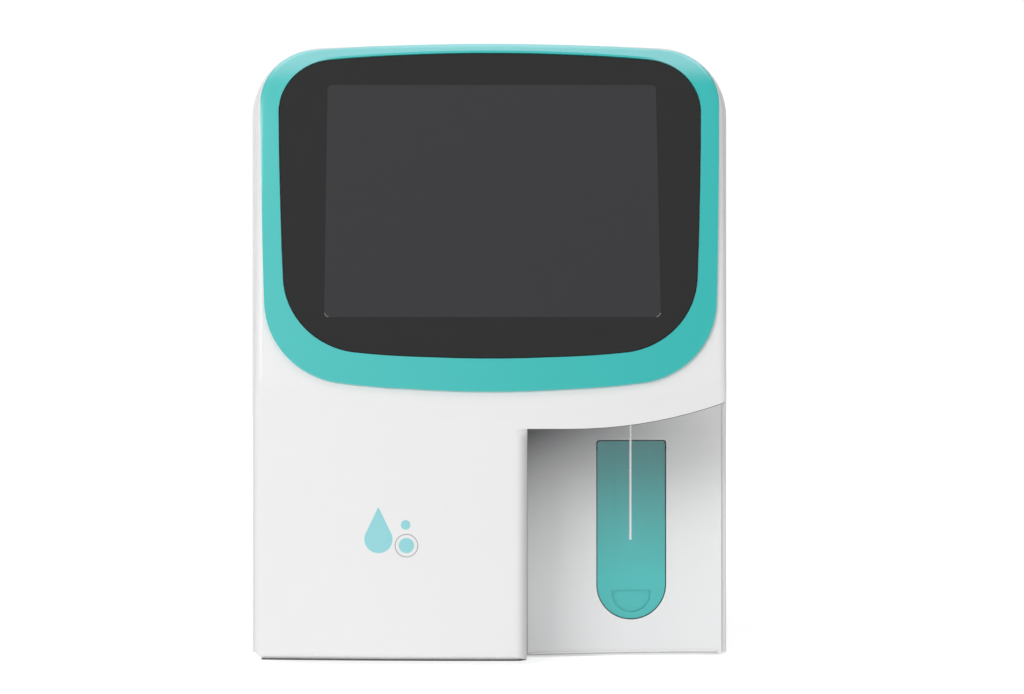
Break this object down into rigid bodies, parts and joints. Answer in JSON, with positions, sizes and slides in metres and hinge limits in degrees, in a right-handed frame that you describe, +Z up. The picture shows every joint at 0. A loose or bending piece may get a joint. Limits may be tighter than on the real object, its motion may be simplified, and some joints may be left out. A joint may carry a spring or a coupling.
{
  "type": "hematology analyzer",
  "caption": "Benchtop blood cell counter: white wrapped case, sloped screen in a teal ring, lower right sampling bay with a needle and a tall teal key.",
  "frame": {"origin": "middle of the footprint, on the table", "axes": "+X to the right as seen from the front, +Y to the rear, +Z up"},
  "size_m": [0.308, 0.4095, 0.3969],
  "materials": {
    "aluminium": "milled",
    "aluminium_sheet": "sheet",
    "black_plastic": "black moulding",
    "board_green": "coated circuit board",
    "clear_glass": "ground glass tube",
    "clear_plastic": "clear acrylic",
    "cover_white": "satin paint",
    "foot_rubber": "moulded rubber",
    "housing_white": "fine satin moulding",
    "key_teal": "smooth teal moulding",
    "lcd_dark": "dark panel",
    "liner_white": "satin moulding",
    "motor_black": "black painted case",
    "needle_steel": "drawn tube",
    "panel_grey": "powder coat",
    "polished_steel": "ground steel",
    "port_green": "coloured fitting",
    "port_red": "coloured fitting",
    "port_yellow": "coloured fitting",
    "ring_teal": "smooth teal lacquer",
    "screen_glass": "dark printed border",
    "screw_steel": "zinc plated",
    "socket_steel": "nickel plated",
    "spring_steel": "spring wire",
    "tube_silicone": "translucent tube",
    "zinc_sheet": "zinc plated sheet"
  },
  "bodies": {
    "case": {"base_plate": "zinc_sheet", "bath_shield": "aluminium_sheet", "bay_liner": "liner_white", "bezel_ring": "ring_teal", "board_parts": "black_plastic", "board_posts": "polished_steel", "bulkhead": "aluminium_sheet", "cell_baths": "clear_plastic", "diluent_port": "port_green", "diluent_pump": "motor_black", "diluent_tube": "tube_silicone", "display_board": "board_green", "divider": "aluminium_sheet", "door_catch": "black_plastic", "fan_frame": "black_plastic", "fan_guard": "polished_steel", "feet": "foot_rubber", "foot_screws": "screw_steel", "front_glass": "screen_glass", "front_housing": "housing_white", "front_screws": "screw_steel", "key_bracket": "zinc_sheet", "key_spring": "spring_steel", "key_switch": "black_plastic", "lan_socket": "socket_steel", "lcd_bracket": "zinc_sheet", "lcd_module": "lcd_dark", "lift_frame": "zinc_sheet", "lift_motor": "motor_black", "lift_rail": "polished_steel", "lyse_port": "port_yellow", "lyse_tube": "tube_silicone", "main_board": "board_green", "power_inlet": "black_plastic", "power_supply": "zinc_sheet", "rear_panel": "panel_grey", "rear_screws": "screw_steel", "socket_plate": "zinc_sheet", "solenoid_valves": "motor_black", "switch_frame": "black_plastic", "syringe_barrels": "clear_glass", "syringe_frame": "aluminium_sheet", "syringe_motor": "motor_black", "usb_sockets": "socket_steel", "vacuum_vessel": "clear_plastic", "valve_block": "clear_plastic", "waste_port": "port_red", "waste_pump": "motor_black", "waste_tube": "tube_silicone", "wipe_block": "clear_plastic", "wrap_cover": "cover_white"},
    "key": {"aspirate_key": "key_teal"},
    "needle_lift": {"lift_carriage": "aluminium", "probe_arm": "aluminium", "needle": "needle_steel", "needle_hub": "clear_plastic"},
    "lift_screw": {"lift_screw": "polished_steel"},
    "side_door": {"side_door": "cover_white"},
    "fan_rotor": {"fan_rotor": "black_plastic"},
    "power_rocker": {"power_rocker": "black_plastic"},
    "syringe_drive": {"syringe_yoke": "aluminium", "syringe_plungers": "polished_steel"},
    "syringe_screw": {"syringe_screw": "polished_steel"}
  },
  "joints": [
    {"name": "key_press", "type": "hinge", "parent": "case", "child": "key", "pos_m": [0.0919, -0.1253, 0.134], "axis": [1, 0, 0], "range_deg": [0, 2], "stiffness_Nm_per_rad": 3, "springref_deg": -1.15, "deforming": ["key_spring"]},
    {"name": "needle_lift", "type": "slide", "parent": "case", "child": "needle_lift", "axis": [0, 0, 1], "range_m": [0, 0.075]},
    {"name": "lift_screw_turn", "type": "hinge", "parent": "case", "child": "lift_screw", "pos_m": [0.108, -0.112, 0.23], "axis": [0, 0, 1], "range_deg": [-5, 2705]},
    {"name": "side_door_swing", "type": "hinge", "parent": "case", "child": "side_door", "pos_m": [0.1505, 0.14, 0.191], "axis": [0, 0, 1], "range_deg": [0, 90]},
    {"name": "fan_spin", "type": "hinge", "parent": "case", "child": "fan_rotor", "pos_m": [-0.075, 0.183, 0.285], "axis": [0, 1, 0], "continuous": true},
    {"name": "power_rocker_tilt", "type": "hinge", "parent": "case", "child": "power_rocker", "pos_m": [-0.062, 0.187, 0.062], "axis": [1, 0, 0], "range_deg": [-8, 8]},
    {"name": "syringe_stroke", "type": "slide", "parent": "case", "child": "syringe_drive", "axis": [0, 0, -1], "range_m": [0, 0.055]},
    {"name": "syringe_screw_turn", "type": "hinge", "parent": "case", "child": "syringe_screw", "pos_m": [0.01, -0.04, 0.12], "axis": [0, 0, 1], "range_deg": [-2000, 5]}
  ],
  "couplings": [
    {"joint": "lift_screw_turn", "follows": "needle_lift", "rad_per_m": 628.32},
    {"joint": "syringe_screw_turn", "follows": "syringe_stroke", "rad_per_m": -628.32}
  ]
}
